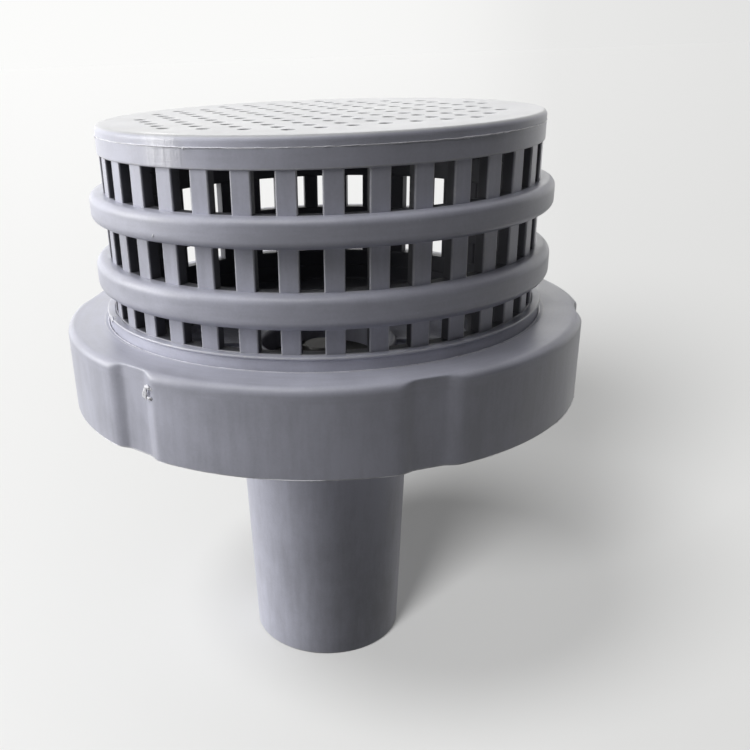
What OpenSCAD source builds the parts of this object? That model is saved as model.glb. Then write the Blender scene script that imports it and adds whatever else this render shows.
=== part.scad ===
// Foot valve with a slotted strainer, a union nut and a spring-loaded poppet.
// It stands on its pipe socket, with the strainer up. In service it hangs the other way round.
// Millimetres. Z is the valve's axis, and z = 0 is the mouth of the socket.

/* [Socket and neck] */
// Outside diameter of the pipe that the socket takes
pipe_d = 50; // [40:0.5:56]
// Depth of the socket
socket_depth = 31; // [24:1:40]
// Wall of the socket at its mouth
socket_wall = 3.7; // [3:0.1:5]
// Chamfer round the outside of the mouth
mouth_chamfer = 0.85; // [0.4:0.05:1.2]
// Lead-in chamfer round the inside of the mouth
lead_in = 0.8; // [0.4:0.1:1.2]
// Moulding draft of the socket and neck, in degrees
neck_draft = 1.86; // [1:0.02:2.4]
// Width of the ledge that stops the pipe
stop_w = 2.5; // [1.5:0.1:3.5]
// Height of the stop ledge
stop_h = 4; // [2:0.5:6]
// Length of the neck from the pipe's end to the bowl
neck_len = 48; // [40:1:60]
// Wall of the neck above the stop, at the guide ledge
neck_wall = 5.7; // [5:0.1:7]

/* [Bowl] */
// Inside diameter of the valve chamber
bowl_d = 104; // [96:1:110]
// Wall of the bowl
body_wall = 5; // [4:0.25:6]
// Slope of the bowl's conical floor, in degrees
bowl_slope = 28.8; // [22:0.2:34]
// Outer radius of the knuckle between floor and wall
knuckle_r = 8; // [6.5:0.5:12]
// Height of the chamber from the neck's end to the seat ring's ledge
chamber_h = 35; // [33:0.5:42]
// Width of the ledge that carries the seat ring
ledge_w = 5; // [4.5:0.25:7]
// Wall round the seat ring's pocket
pocket_wall = 5.5; // [4:0.25:7]

/* [Seat ring] */
// Diameter of the port
port_d = 44; // [36:1:50]
// Width of the sealing lip under the port
lip_w = 2.5; // [1.5:0.1:4]
// Height of the sealing lip
lip_h = 2; // [1:0.1:3]
// Thickness of the seat ring's web
seat_web = 4.5; // [3:0.25:5.5]
// Height of the seat ring's outer rim
seat_h = 7.6; // [7:0.1:10]
// Width of the raised collar round the port
port_rim_w = 5; // [4:0.25:7]
// Height of the raised collar above the web
port_rim_h = 2; // [1:0.1:2.8]
// Number of stiffening ribs on the web
seat_ribs = 8; // [4:1:12]
// Thickness of each stiffening rib
seat_rib_t = 2.5; // [1.5:0.25:4]

/* [Union thread on the body] */
// Length of the threaded flange
thread_len = 13.7; // [12:0.1:16]
// Wall of the threaded ring
thread_wall = 5; // [4:0.25:7]
// Thickness of the flange above the cored pocket
flange_roof = 6.2; // [5:0.1:7]
// Chamfer at both ends of the thread
thread_chamfer = 0.6; // [0.3:0.1:1.2]
// Number of webs in the cored pocket
web_count = 12; // [6:1:18]
// Thickness of each web
web_t = 3; // [2:0.25:5]

/* [Seals] */
// Cord diameter of the O-ring under the seat ring
seat_cord = 1.78; // [1.5:0.02:2]
// Cord diameter of the union O-ring
union_cord = 2.7; // [2:0.1:3.4]
// Distance from the thread's crest in to the middle of the union O-ring
union_ring_inset = 12.3; // [9:0.1:13]

/* [Union nut] */
// Diameter over the nut
nut_d = 179.6; // [176:0.2:190]
// Wall of the nut outside its thread
nut_wall = 7; // [6:0.1:9]
// Height of the nut
nut_h = 28; // [27.5:0.1:31]
// How far the lip reaches in from the thread
nut_lip_w = 6.75; // [5:0.05:8]
// Thickness of the lip
nut_lip = 5.7; // [5:0.1:7]
// Radius of the outer shoulder
nut_shoulder = 5; // [3:0.25:7]
// Radius of the lip's inner edge
nut_lip_edge = 1; // [0.5:0.1:2]
// Number of grip scallops
scallop_count = 6; // [4:1:12]
// Depth of a scallop
scallop_depth = 2.2; // [1:0.1:3]
// Width of a scallop's floor
scallop_w = 12; // [8:0.5:20]
// Slope of a scallop's side walls against its floor, in degrees
scallop_slope = 29; // [20:1:60]
// Turn of the first scallop about the axis, in degrees
scallop_turn = -70; // [-90:1:-30]
// Gap between the nut's thread and the body's thread
thread_gap = 0.5; // [0.3:0.1:1]

/* [Union collar] */
// Thickness of the flange that the nut pulls down
collar_flange = 6.2; // [5:0.1:8]
// Width of the step between the flange's edge and the nut's thread
collar_edge_gap = 1.3; // [0.5:0.1:2]
// Gap between the collar's wall and the hole in the nut
collar_gap = 0.75; // [0.5:0.05:1.2]
// Wall of the collar round the cage
collar_wall = 2.3; // [2:0.1:4]
// Height of the bead round the collar's top edge
bead_w = 0.45; // [0.2:0.05:0.6]
// How far the collar stands above the nut
collar_stand = 4; // [2:0.1:5]
// Thickness of the collar's floor
collar_floor = 4; // [3:0.25:5]

/* [Strainer cage] */
// Depth of a bar from outside to inside
bar_depth = 4; // [3:0.25:5]
// Width of a bar on the outside
bar_w = 6; // [4:0.25:7]
// Width that a bar loses towards the inside
bar_taper = 0.8; // [0:0.1:1.5]
// Number of bars
bar_count = 36; // [28:1:40]
// Turn of the first bar about the axis, in degrees
bar_turn = 2.95; // [0:0.05:10]
// Depth of the cage's base ring in the collar
base_h = 6.2; // [5:0.1:7]
// How far the two ring ribs stand out from the bars
rib_reach = 4.7; // [3.5:0.1:7]
// Height of the lowest row of slots
low_slot_h = 7.9; // [6:0.1:12]
// Height of the lower ring rib
low_rib_h = 10.1; // [7:0.1:12]
// Height of the middle row of slots
mid_slot_h = 12.5; // [8:0.1:16]
// Height of the upper ring rib
top_rib_h = 8.6; // [7:0.1:12]
// Height of the top row of slots
top_slot_h = 11.8; // [8:0.1:16]
// How far the rim stands out from the bars
rim_reach = 0.6; // [0.5:0.1:3]
// Height of the rim
rim_h = 5.8; // [5:0.1:8]

/* [End cap] */
// Thickness of the end cap
cap_h = 3.1; // [2.5:0.1:4]
// Radius of the cap's outer edge
cap_edge = 1.8; // [1:0.1:2.4]
// Height of the spigot that centres the cap in the rim
spigot_h = 3.5; // [2:0.1:4.5]
// Width of the spigot
spigot_w = 2.6; // [2:0.1:4]
// Diameter of a strainer hole
hole_d = 4; // [3:0.1:5]
// Distance between holes
hole_pitch = 9.7; // [8:0.1:14]
// Turn of the square grid of holes, in degrees
hole_turn = 20; // [0:1:45]
// Shift of the grid along its own two directions
hole_shift = [1.8, -2.4]; // [-4.8:0.1:4.8]
// Least plate left between a hole and the cap's spigot
hole_margin = 3.25; // [1:0.25:20]

/* [Poppet] */
// How far the poppet disc reaches past the port
poppet_overlap = 6; // [5:0.25:8]
// Thickness of the disc
poppet_t = 4.5; // [4:0.1:6]
// Thickness of the rubber seal
seal_t = 2.5; // [2:0.1:3]
// Depth of the seal's recess
seal_recess = 2; // [1.2:0.1:2.4]
// Width of the disc's rim round the seal
poppet_rim = 1.7; // [1.2:0.1:2.5]
// Diameter of the boss that the seal sits round
pilot_d = 18; // [15:0.5:20]
// Gap between the seal's retainer and the port
retainer_gap = 1.5; // [1:0.1:3]
// Thickness of the retainer
retainer_t = 2; // [1.5:0.1:3]
// How far the poppet opens
lift = 11; // [6:0.5:11]
// Diameter of the stem
stem_d = 8; // [6:0.5:9]
// Length of stem below the guide bush when closed
stem_tail = 4; // [2:0.5:8]
// Width across the flats of the stem's head and nut
hex_af = 13; // [11:0.5:14]
// Height of the stem's hexagon head
head_h = 5; // [3:0.5:5.5]
// Height of each of the stem's two nuts
stem_nut_h = 4; // [3:0.25:4.5]
// Thickness of the washer under the nut
stem_washer_t = 1; // [0.8:0.1:1.6]
// Diameter of the washer under the nut
stem_washer_d = 16.6; // [15.5:0.1:17]

/* [Guide and spring] */
// Height of the guide's ledge below the neck's end
guide_drop = 4; // [3:0.25:5]
// Width of the guide's ledge
guide_ledge = 2.1; // [1.5:0.1:2.5]
// Height of the guide's ring and arms
guide_h = 4; // [3:0.25:6]
// Width of the guide's ring
guide_ring_w = 3.1; // [2.5:0.1:4]
// Diameter of the guide's hub
hub_d = 15; // [13.5:0.1:15.5]
// Length of the hub below the ring
hub_below = 11; // [6:0.5:16]
// Number of arms
arm_count = 3; // [3:1:5]
// Width of an arm
arm_w = 3.5; // [2.5:0.25:5]
// Wall of the guide bush
bush_wall = 1; // [0.8:0.05:1.4]
// Thickness of the bush's flange
bush_flange = 1.2; // [0.8:0.1:2]
// Wire diameter of the spring
spring_wire = 1.6; // [1.2:0.1:1.8]
// Mean diameter of the spring
spring_d = 22; // [20.5:0.1:23]
// Number of turns of the spring
spring_turns = 6; // [5:0.5:7]
// Thickness of the spring's two washers
spring_washer_t = 0.8; // [0.5:0.1:1.2]
// Width of the spring's two washers
spring_washer_w = 4; // [3.5:0.1:4]

/* [Clearances] */
// Gap in cemented and bolted joints
fit_gap = 0.1; // [0.05:0.01:0.2]
// Gap between pieces that part or slide past each other
part_gap = 0.3; // [0.2:0.05:0.5]
// Radial gap between the stem and its bush
stem_gap = 0.05; // [0.02:0.01:0.09]

/* [Hidden] */
$fn = 96;
embed = 0.6;

// Colours of the pieces
pvc = [0.55, 0.57, 0.63];
pvc_cage = [0.58, 0.60, 0.66];
pvc_nut = [0.50, 0.52, 0.58];
rubber = [0.12, 0.12, 0.13];
steel = [0.78, 0.79, 0.80];
acetal = [0.90, 0.90, 0.87];

// Socket and neck
socket_r = pipe_d / 2;
mouth_r = socket_r + socket_wall;
neck_z = socket_depth + neck_len;
neck_r = mouth_r + (neck_z - mouth_chamfer) * tan(neck_draft);
passage_r = neck_r - neck_wall;
stop_r = socket_r - stop_w;

// Bowl: the inside keeps one wall's distance from the outside
bowl_r = bowl_d / 2;
bowl_out_r = bowl_r + body_wall;
knuckle_c = [bowl_out_r - knuckle_r,
    neck_z + (bowl_out_r - knuckle_r - neck_r) * tan(bowl_slope) + knuckle_r / cos(bowl_slope)];
knuckle_start = bowl_slope - 90;
ledge_z = neck_z + chamber_h;
pocket_r = bowl_r + ledge_w;
body_top = ledge_z + seat_h + fit_gap;

// Nut, from its outside in to the thread, the collar and the cage
nut_r = nut_d / 2;
nut_thread_r = nut_r - nut_wall;
nut_bore_r = nut_thread_r - nut_lip_w;
collar_flange_r = nut_thread_r - collar_edge_gap;
collar_r = nut_bore_r - collar_gap;
collar_in_r = collar_r - collar_wall;
base_r = collar_in_r - fit_gap;
cage_r = base_r - fit_gap;
cage_in_r = cage_r - bar_depth;
ring_in_r = cage_in_r - part_gap;
rib_r = cage_r + rib_reach;
rim_r = cage_r + rim_reach;

// Threaded flange
thread_r = nut_thread_r - thread_gap;
flange_z = body_top - thread_len;
core_in_r = pocket_r + pocket_wall;
core_out_r = thread_r - thread_wall;
core_top = body_top - flange_roof;
union_ring_r = thread_r - union_ring_inset;
union_groove_w = union_cord * 1.6;
union_groove_d = union_cord - fit_gap;
seat_groove_w = seat_cord * 1.5;
seat_groove_r = bowl_r + ledge_w / 2;

// Collar, nut and cage, from the union face up
union_z = body_top + part_gap;
collar_flange_top = union_z + collar_flange;
lip_z = collar_flange_top + part_gap;
nut_top = lip_z + nut_lip;
nut_z = nut_top - nut_h;
collar_top = nut_top + collar_stand;
base_z = collar_top - base_h;
low_rib_z = collar_top + low_slot_h;
mid_slot_z = low_rib_z + low_rib_h;
top_rib_z = mid_slot_z + mid_slot_h;
top_slot_z = top_rib_z + top_rib_h;
rim_z = top_slot_z + top_slot_h;
cap_z = rim_z + rim_h;

// End cap: the field of holes fills the plate inside the spigot
spigot_r = ring_in_r - fit_gap;
spigot_in_r = spigot_r - spigot_w;
hole_field_r = spigot_in_r - hole_margin - hole_d / 2;

// Poppet, from the sealing lip down
port_r = port_d / 2;
lip_face = ledge_z - lip_h;
seal_top = lip_face - part_gap;
seal_z = seal_top - seal_t;
disc_top = seal_z + seal_recess;
disc_z = disc_top - poppet_t;
poppet_r = port_r + poppet_overlap;
pilot_r = pilot_d / 2;
seal_r = poppet_r - poppet_rim;
retainer_r = port_r - retainer_gap;
head_z = seal_top + retainer_t;
stem_r = stem_d / 2;
stem_hole_r = stem_r + fit_gap;
hex_r = hex_af / 2 / cos(30);
stem_washer_z = disc_z - stem_washer_t;
stem_nut_z = stem_washer_z - stem_nut_h;
lock_nut_z = stem_nut_z - stem_nut_h;

// Guide, bush and spring. The lock nut meets the bush's flange when the poppet is fully open
guide_z = neck_z - guide_drop;
guide_r = passage_r + guide_ledge;
guide_top = guide_z + guide_h;
hub_r = hub_d / 2;
bush_in_r = stem_r + stem_gap;
bush_r = bush_in_r + bush_wall;
bush_z = guide_z - hub_below;
bush_top = lock_nut_z - lift - part_gap - bush_flange;
stem_z = bush_z - stem_tail;
spring_r = spring_d / 2;
spring_z = guide_top + spring_washer_t;
spring_top = disc_z - spring_washer_t;
spring_washer_in = spring_r - spring_washer_w / 2;
spring_washer_out = spring_r + spring_washer_w / 2;

// Points of an arc about c, from angle a0 to angle a1
function arc(c, r, a0, a1, n = 6) =
    [for (i = [0 : n]) c + r * [cos(a0 + (a1 - a0) * i / n), sin(a0 + (a1 - a0) * i / n)]];

// Height of the bowl's conical floor inside, at radius r
function floor_z(r) = neck_z + (r - neck_r) * tan(bowl_slope) + body_wall / cos(bowl_slope);

module revolve(points) {
    rotate_extrude()
        polygon(points);
}

module ring(r_in, r_out, z, h) {
    revolve([[r_in, z], [r_out, z], [r_out, z + h], [r_in, z + h]]);
}

module o_ring(r, z, cord) {
    rotate_extrude()
        translate([r, z])
            circle(d = cord, $fn = 24);
}

// Spokes of width w that run from r_in to r_out between z and z + h
module spokes(count, w, r_in, r_out, z, h, turn = 0) {
    for (i = [0 : count - 1])
        rotate([0, 0, turn + i * 360 / count])
            translate([r_in, -w / 2, z])
                cube([r_out - r_in, w, h]);
}

// Bowl, neck, socket and threaded flange in one moulding
module valve_body() {
    socket_outside = [
        [mouth_r - mouth_chamfer, 0],
        [mouth_r, mouth_chamfer],
        [neck_r, neck_z]];
    flange_outside = [
        [bowl_out_r, flange_z - pocket_wall],
        [core_in_r, flange_z],
        [core_in_r, core_top],
        [core_out_r, core_top],
        [core_out_r, flange_z],
        [thread_r - thread_chamfer, flange_z],
        [thread_r, flange_z + thread_chamfer],
        [thread_r, body_top - thread_chamfer],
        [thread_r - thread_chamfer, body_top]];
    union_groove = [
        [union_ring_r + union_groove_w / 2, body_top],
        [union_ring_r + union_groove_w / 2, body_top - union_groove_d],
        [union_ring_r - union_groove_w / 2, body_top - union_groove_d],
        [union_ring_r - union_groove_w / 2, body_top]];
    seat_pocket = [
        [pocket_r, body_top],
        [pocket_r, ledge_z],
        [seat_groove_r + seat_groove_w / 2, ledge_z],
        [seat_groove_r + seat_groove_w / 2, ledge_z - seat_cord],
        [seat_groove_r - seat_groove_w / 2, ledge_z - seat_cord],
        [seat_groove_r - seat_groove_w / 2, ledge_z],
        [bowl_r, ledge_z]];
    passage = [
        [guide_r, floor_z(guide_r)],
        [guide_r, guide_z],
        [passage_r, guide_z],
        [passage_r - (guide_z - socket_depth - stop_h) * tan(neck_draft), socket_depth + stop_h],
        [stop_r, socket_depth + stop_h],
        [stop_r, socket_depth],
        [socket_r, socket_depth],
        [socket_r, lead_in],
        [socket_r + lead_in, 0]];
    color(pvc) {
        revolve(concat(
            socket_outside,
            arc(knuckle_c, knuckle_r, knuckle_start, 0),
            flange_outside,
            union_groove,
            seat_pocket,
            arc(knuckle_c, knuckle_r - body_wall, 0, knuckle_start),
            passage));
        spokes(web_count, web_t, core_in_r - embed, core_out_r + embed,
            flange_z + thread_chamfer, core_top + embed - flange_z - thread_chamfer);
    }
}

// Plate with the port, the sealing lip below it and a raised collar above it
module seat_ring() {
    web_top = ledge_z + seat_web;
    rim_r_out = pocket_r - fit_gap;
    rim_r_in = bowl_r;
    edge = 0.5;
    rim_round = port_rim_w / 4;
    color(pvc) {
        revolve(concat(
            [[port_r, lip_face],
             [port_r + lip_w, lip_face],
             [port_r + lip_w, ledge_z],
             [rim_r_out, ledge_z],
             [rim_r_out, ledge_z + seat_h - edge],
             [rim_r_out - edge, ledge_z + seat_h],
             [rim_r_in + edge, ledge_z + seat_h],
             [rim_r_in, ledge_z + seat_h - edge],
             [rim_r_in, web_top],
             [port_r + port_rim_w, web_top]],
            arc([port_r + port_rim_w - rim_round, web_top + port_rim_h - rim_round], rim_round, 0, 90, 4),
            arc([port_r + rim_round, web_top + port_rim_h - rim_round], rim_round, 90, 180, 4)));
        spokes(seat_ribs, seat_rib_t, port_r + port_rim_w - embed, rim_r_in + embed,
            web_top - embed, port_rim_h);
    }
}

module seat_o_ring() {
    color(rubber)
        o_ring(seat_groove_r, ledge_z - seat_cord / 2 - fit_gap / 10, seat_cord - fit_gap / 5);
}

module union_o_ring() {
    color(rubber)
        o_ring(union_ring_r, body_top - union_groove_d + union_cord / 2 + fit_gap / 5, union_cord);
}

// Ring, arms and hub that carry the bush
module guide_spider() {
    color(pvc) {
        ring(guide_r - guide_ring_w, guide_r - fit_gap, guide_z, guide_h);
        ring(bush_r + fit_gap / 2, hub_r, bush_z, bush_top - bush_z);
        spokes(arm_count, arm_w, hub_r - embed, guide_r - guide_ring_w + embed, guide_z, guide_h);
    }
}

module guide_bush() {
    color(acetal)
        revolve([
            [bush_in_r, bush_z],
            [bush_r, bush_z],
            [bush_r, bush_top],
            [hub_r - fit_gap, bush_top],
            [hub_r - fit_gap, bush_top + bush_flange],
            [bush_in_r, bush_top + bush_flange]]);
}

module spring_washer(z) {
    color(steel)
        ring(spring_washer_in, spring_washer_out, z, spring_washer_t);
}

module lower_spring_washer() {
    spring_washer(guide_top);
}

module upper_spring_washer() {
    spring_washer(spring_top);
}

// Compression spring whose first and last turns lie closed on their washers
module closing_spring() {
    sides = 8;
    steps = 18;
    wire_r = spring_wire / 2 - fit_gap / 10;
    z0 = spring_z + spring_wire / 2;
    z1 = spring_top - spring_wire / 2;
    free_turns = spring_turns - 2;
    pitch = (z1 - z0 - 2 * spring_wire) / free_turns;
    count = steps * spring_turns;
    function coil_z(t) =
        t < 1 ? z0 + spring_wire * t
        : t > spring_turns - 1 ? z1 - spring_wire * (spring_turns - t)
        : z0 + spring_wire + pitch * (t - 1);
    function wire_point(i, j) = let (
            a = i * 360 / steps,
            b = j * 360 / sides,
            r = spring_r + wire_r * cos(b))
        [r * cos(a), r * sin(a), coil_z(i / steps) + wire_r * sin(b)];
    points = [for (i = [0 : count]) for (j = [0 : sides - 1]) wire_point(i, j)];
    walls = [for (i = [0 : count - 1]) for (j = [0 : sides - 1])
        [i * sides + j, (i + 1) * sides + j,
         (i + 1) * sides + (j + 1) % sides, i * sides + (j + 1) % sides]];
    ends = [[for (j = [0 : sides - 1]) j],
        [for (j = [sides - 1 : -1 : 0]) count * sides + j]];
    color(steel)
        polyhedron(points, concat(walls, ends), convexity = 10);
}

// Disc with a recess for the seal, a pilot boss and a ring that holds the spring
module poppet_disc() {
    edge = 0.6;
    collar_in = spring_washer_out + part_gap;
    collar_w = 1.7;
    collar_h = 1.8;
    color(pvc)
        revolve([
            [stem_hole_r, disc_z],
            [collar_in, disc_z],
            [collar_in, disc_z - collar_h],
            [collar_in + collar_w, disc_z - collar_h],
            [collar_in + collar_w, disc_z],
            [poppet_r - edge, disc_z],
            [poppet_r, disc_z + edge],
            [poppet_r, disc_top - edge],
            [poppet_r - edge, disc_top],
            [seal_r, disc_top],
            [seal_r, seal_z],
            [pilot_r, seal_z],
            [pilot_r, seal_top],
            [stem_hole_r, seal_top]]);
}

module poppet_seal() {
    color(rubber)
        ring(pilot_r + fit_gap, seal_r - fit_gap, seal_z, seal_t);
}

module seal_retainer() {
    edge = 0.5;
    color(steel)
        revolve([
            [stem_hole_r, seal_top],
            [retainer_r, seal_top],
            [retainer_r, head_z - edge],
            [retainer_r - edge, head_z],
            [stem_hole_r, head_z]]);
}

// Hexagon-headed stem that clamps the poppet's pieces and runs in the bush
module poppet_stem() {
    tip = 1;
    color(steel) {
        revolve([
            [0, stem_z],
            [stem_r - tip, stem_z],
            [stem_r, stem_z + tip],
            [stem_r, head_z + embed],
            [0, head_z + embed]]);
        translate([0, 0, head_z])
            cylinder(r = hex_r, h = head_h, $fn = 6);
    }
}

module stem_washer() {
    color(steel)
        ring(stem_hole_r, stem_washer_d / 2, stem_washer_z, stem_washer_t);
}

module hex_nut(z, turn = 0) {
    color(steel)
        difference() {
            translate([0, 0, z])
                rotate([0, 0, turn])
                    cylinder(r = hex_r, h = stem_nut_h, $fn = 6);
            translate([0, 0, z - embed])
                cylinder(r = stem_hole_r, h = stem_nut_h + 2 * embed);
        }
}

module stem_nut() {
    hex_nut(stem_nut_z);
}

// Second nut, jammed against the first
module stem_lock_nut() {
    hex_nut(lock_nut_z, 20);
}

// Flanged collar that the nut pulls onto the body, with a pocket for the cage
module union_collar() {
    edge = 0.5;
    color(pvc_cage)
        revolve([
            [bowl_r, union_z],
            [collar_flange_r, union_z],
            [collar_flange_r, collar_flange_top - edge],
            [collar_flange_r - edge, collar_flange_top],
            [collar_r, collar_flange_top],
            [collar_r, collar_top - 2 * bead_w],
            [collar_r + bead_w, collar_top - bead_w],
            [collar_r + bead_w / 2, collar_top],
            [collar_in_r, collar_top],
            [collar_in_r, base_z],
            [ring_in_r, base_z],
            [ring_in_r, union_z + collar_floor],
            [bowl_r + edge, union_z + collar_floor],
            [bowl_r, union_z + collar_floor - edge]]);
}

// Ring rib whose outer corners are rounded over half its height
module ring_rib(z, h) {
    round_r = h / 4;
    revolve(concat(
        [[ring_in_r, z]],
        arc([rib_r - round_r, z + round_r], round_r, -90, 0),
        arc([rib_r - round_r, z + h - round_r], round_r, 0, 90),
        [[ring_in_r, z + h]]));
}

// Ring of upright bars, each a little narrower on the inside
module bars(z, h) {
    in_w = bar_w - bar_taper;
    translate([0, 0, z])
        linear_extrude(h)
            for (i = [0 : bar_count - 1])
                rotate([0, 0, bar_turn - 90 + i * 360 / bar_count])
                    polygon([[cage_in_r, -in_w / 2], [cage_r, -bar_w / 2],
                        [cage_r, bar_w / 2], [cage_in_r, in_w / 2]]);
}

// Slotted cage: base ring, upright bars, two ring ribs and the rim
module strainer_cage() {
    rim_edge = 0.3;
    color(pvc_cage) {
        ring(ring_in_r, base_r, base_z, base_h);
        bars(collar_top - embed, rim_z - collar_top + 2 * embed);
        ring_rib(low_rib_z, low_rib_h);
        ring_rib(top_rib_z, top_rib_h);
        revolve([
            [ring_in_r, rim_z],
            [rim_r - rim_edge, rim_z],
            [rim_r, rim_z + rim_edge],
            [rim_r, cap_z],
            [ring_in_r, cap_z]]);
    }
}

// Perforated end cap with a spigot that sits inside the rim
module strainer_end_cap() {
    reach = ceil(hole_field_r / hole_pitch) + 1;
    color(pvc_cage)
        difference() {
            revolve(concat(
                [[0, cap_z],
                 [spigot_in_r, cap_z],
                 [spigot_in_r, cap_z - spigot_h],
                 [spigot_r, cap_z - spigot_h],
                 [spigot_r, cap_z],
                 [rim_r, cap_z]],
                arc([rim_r - cap_edge, cap_z + cap_h - cap_edge], cap_edge, 0, 90),
                [[0, cap_z + cap_h]]));
            rotate([0, 0, hole_turn])
                for (i = [-reach : reach])
                    for (j = [-reach : reach])
                        let (p = hole_pitch * [i, j] + hole_shift)
                            if (norm(p) <= hole_field_r)
                                translate([p[0], p[1], cap_z - embed])
                                    cylinder(d = hole_d, h = cap_h + 2 * embed, $fn = 24);
        }
}

// Nut with a lip over the collar's flange, a rounded shoulder and grip scallops
module union_nut() {
    edge = 0.5;
    floor_r = nut_r - scallop_depth;
    reach = scallop_depth + embed;
    flare = reach / tan(scallop_slope);
    color(pvc_nut)
        difference() {
            revolve(concat(
                [[nut_thread_r + edge, nut_z],
                 [nut_r - edge, nut_z],
                 [nut_r, nut_z + edge]],
                arc([nut_r - nut_shoulder, nut_top - nut_shoulder], nut_shoulder, 0, 90, 8),
                arc([nut_bore_r + nut_lip_edge, nut_top - nut_lip_edge], nut_lip_edge, 90, 180),
                [[nut_bore_r, lip_z],
                 [nut_thread_r, lip_z],
                 [nut_thread_r, nut_z + edge]]));
            for (i = [0 : scallop_count - 1])
                rotate([0, 0, scallop_turn + i * 360 / scallop_count])
                    translate([0, 0, nut_z - embed])
                        linear_extrude(nut_h + 2 * embed)
                            polygon([[floor_r, -scallop_w / 2],
                                [floor_r + reach, -scallop_w / 2 - flare],
                                [floor_r + reach, scallop_w / 2 + flare],
                                [floor_r, scallop_w / 2]]);
        }
}

valve_body();
seat_ring();
seat_o_ring();
union_o_ring();
guide_spider();
guide_bush();
lower_spring_washer();
closing_spring();
upper_spring_washer();
poppet_disc();
poppet_seal();
seal_retainer();
poppet_stem();
stem_washer();
stem_nut();
stem_lock_nut();
union_collar();
strainer_cage();
strainer_end_cap();
union_nut();
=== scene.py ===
"""Foot valve: moulded shapes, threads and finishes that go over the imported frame."""

import math

import bmesh
import bpy
import numpy as np
from bpy.props import FloatProperty, FloatVectorProperty, IntProperty, PointerProperty
from mathutils import Matrix, Vector, noise


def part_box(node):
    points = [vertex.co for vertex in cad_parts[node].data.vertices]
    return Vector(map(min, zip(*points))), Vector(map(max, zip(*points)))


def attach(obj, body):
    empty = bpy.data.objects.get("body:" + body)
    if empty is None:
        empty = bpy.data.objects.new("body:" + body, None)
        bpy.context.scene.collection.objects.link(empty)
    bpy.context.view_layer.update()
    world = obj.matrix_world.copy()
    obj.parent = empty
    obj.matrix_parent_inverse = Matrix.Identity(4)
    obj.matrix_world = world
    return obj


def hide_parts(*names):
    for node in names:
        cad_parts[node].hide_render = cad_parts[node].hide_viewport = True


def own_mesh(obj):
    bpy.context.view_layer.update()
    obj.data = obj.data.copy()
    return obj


bl_info = {
    "name": "Foot valve",
    "version": (1, 0, 0),
    "blender": (4, 5, 0),
    "location": "3D View > Sidebar > Foot valve",
    "description": "Dresses the frame of a foot valve with moulded shapes, threads and finishes",
    "category": "Mesh",
}

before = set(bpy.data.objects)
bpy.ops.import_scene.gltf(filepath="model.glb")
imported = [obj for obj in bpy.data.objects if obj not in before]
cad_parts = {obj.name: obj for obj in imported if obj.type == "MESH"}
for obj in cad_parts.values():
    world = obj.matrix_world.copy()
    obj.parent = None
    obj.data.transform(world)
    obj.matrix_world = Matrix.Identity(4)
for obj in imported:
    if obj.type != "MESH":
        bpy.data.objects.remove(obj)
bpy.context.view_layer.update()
MM = 0.001
BEYOND = 900  # a radius or height in mm that the valve doesn't reach

# Angle in degrees from which an edge stays sharp on mouldings, on steel and on flash
SHARP = 34.0
STEEL_SHARP = 28.0
FLASH_SHARP = 60.0

# Pale grey of fine dust on the cap's top, which also stands in for a painted sheen on the top.
DUST_AND_SHEEN = (0.56, 0.56, 0.55)
PAPER = (0.90, 0.90, 0.89)
PAPER_TINT = (1.0, 1.0, 0.99)


def reach(node):
    """Lowest and highest height of a node, and its outer radius, in mm."""
    low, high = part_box(node)
    return low[2] / MM, high[2] / MM, (high[1] - low[1]) / 2 / MM


# ---------------------------------------------------------------- sizes, colours and light


def metres(name, description, default):
    """Property for a length."""
    return FloatProperty(name=name, description=description, default=default, unit="LENGTH")


def degrees(name, description, default):
    """Property for an angle, whose default is given in degrees."""
    return FloatProperty(name=name, description=description, default=math.radians(default), subtype="ANGLE")


def watts(name, description, default):
    """Property for a lamp's power."""
    return FloatProperty(name=name, description=description, default=default, unit="POWER")


def paint(name, description, *default):
    """Property for a colour."""
    return FloatVectorProperty(
        name=name,
        description=description,
        default=default,
        subtype="COLOR",
        min=0,
        max=1,
    )


class FootValveSizes(bpy.types.PropertyGroup):
    thread_pitch: metres("Thread pitch", "Rise of the union thread in one turn", 0.006)
    thread_depth: metres("Thread depth", "Height of the thread on the body, from root to crest", 0.002)
    edge: metres("Moulded edge", "Radius of the moulded edges that aren't rounded further", 0.0004)
    bar_width: metres("Bar width", "Width of an upright bar on its outer face", 0.006)
    bar_count: IntProperty(
        name="Bars",
        description="Number of upright bars in the strainer cage",
        default=36,
    )
    bar_turn: degrees("First bar", "Turn of the first bar about the axis", 2.95 - 90)
    hole: metres("Hole", "Diameter of a hole in the end cap", 0.004)
    hole_pitch: metres("Hole pitch", "Distance between the holes of the end cap", 0.0097)
    hole_turn: degrees("Hole turn", "Turn of the grid of holes about the axis", 20)
    flash: metres("Weld flash", "Most that the flash of the weld stands out from the rim", 0.0004)
    wire: metres("Spring wire", "Diameter of the spring's wire", 0.0016)


class FootValveColours(bpy.types.PropertyGroup):
    pvc: paint("PVC", "Blue-grey of the moulded plastic", 0.402, 0.407, 0.475)
    # Paler grey of rubbed edges, which is also a painted highlight along small edges.
    worn_and_highlit: paint("Worn and highlit edge", "Paler grey where an edge is rubbed", 0.58, 0.58, 0.61)
    rubber: paint("Rubber", "Black of the seals", 0.018, 0.018, 0.020)
    steel: paint("Stainless steel", "Colour of the turned and pressed steel", 0.62, 0.61, 0.59)
    acetal: paint("Acetal", "Off-white of the guide bush", 0.78, 0.77, 0.72)
    floor: paint("Floor", "How much of each colour the floor throws back on the valve", 0.08, 0.08, 0.08)


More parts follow.
